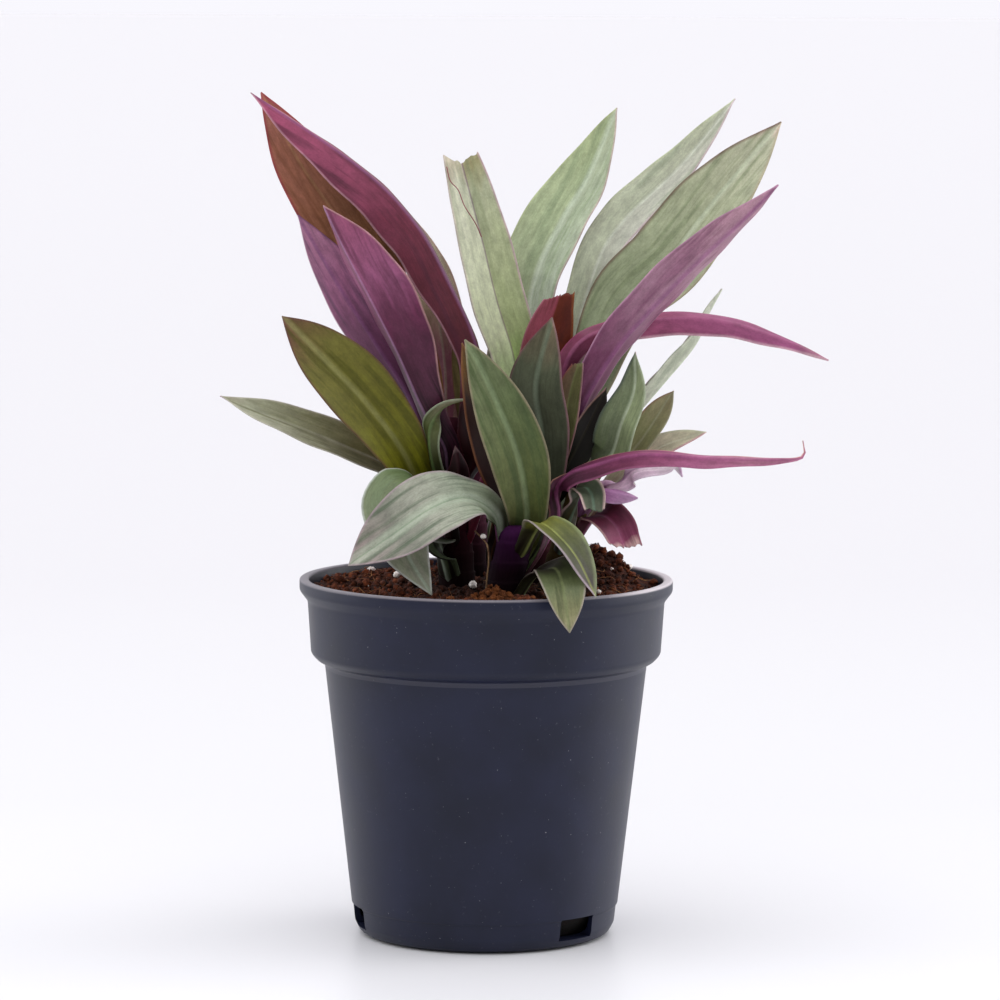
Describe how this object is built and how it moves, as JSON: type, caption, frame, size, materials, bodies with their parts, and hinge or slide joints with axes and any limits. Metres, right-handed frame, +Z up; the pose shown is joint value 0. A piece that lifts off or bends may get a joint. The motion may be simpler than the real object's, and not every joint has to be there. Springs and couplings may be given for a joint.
{
  "type": "potted tradescantia",
  "caption": "House plant with sword-shaped silvery, green and purple leaves in leafy shoots, standing in a round dark plastic nursery pot of coconut-fibre mix.",
  "frame": {"origin": "on the ground at the pot's axis, in the middle of the pad under the pot's floor", "axes": "+Z up along the pot's axis, -Y towards the picture's viewer, +X to the viewer's right"},
  "size_m": [0.1944, 0.1567, 0.2703],
  "materials": {
    "pot": "satin",
    "soil": "matte",
    "stem": "satin",
    "leaf_silver": "satin",
    "leaf_green": "satin",
    "leaf_olive": "satin",
    "leaf_purple": "satin",
    "leaf_magenta": "satin",
    "leaf_maroon": "satin"
  },
  "bodies": {
    "root": {"pot": "pot", "soil": "soil", "stem_left": "stem", "stem_front": "stem", "stem_right": "stem", "stem_low": "stem", "stem_back": "stem", "leaf_tall_purple": "leaf_magenta", "leaf_tall_olive": "leaf_olive", "leaf_mauve": "leaf_purple", "leaf_violet": "leaf_purple", "leaf_olive": "leaf_olive", "leaf_low_left": "leaf_green", "leaf_left_droop": "leaf_silver", "leaf_curl": "leaf_green", "leaf_sliver": "leaf_olive", "leaf_dark_inner": "leaf_maroon", "bract_left": "leaf_maroon", "bract_middle": "leaf_maroon", "leaf_front": "leaf_green", "leaf_front_ochre": "leaf_olive", "leaf_front_dark": "leaf_green", "leaf_front_narrow": "leaf_green", "leaf_silver_left": "leaf_silver", "leaf_over_rim": "leaf_green", "leaf_arched": "leaf_olive", "leaf_long_lower": "leaf_magenta", "leaf_torn": "leaf_silver", "leaf_broad_upper": "leaf_silver", "leaf_upper_right": "leaf_silver", "leaf_right_broad": "leaf_silver", "leaf_diagonal": "leaf_purple", "leaf_long_upper": "leaf_magenta", "leaf_cut_red": "leaf_maroon", "leaf_right_upright": "leaf_green", "leaf_right_black": "leaf_green", "leaf_right_round": "leaf_green", "leaf_right_small": "leaf_silver", "leaf_right_edge_on": "leaf_silver", "leaf_right_hooked": "leaf_purple", "leaf_right_violet": "leaf_purple", "leaf_cut_green": "leaf_green", "leaf_cut_purple": "leaf_magenta", "leaf_back_pale": "leaf_silver", "leaf_back_tall": "leaf_green", "leaf_back_1": "leaf_green", "leaf_back_2": "leaf_purple", "leaf_back_3": "leaf_purple", "leaf_back_4": "leaf_green", "leaf_back_5": "leaf_green", "leaf_back_6": "leaf_silver", "leaf_back_7": "leaf_green", "leaf_back_8": "leaf_purple"}
  },
  "joints": []
}
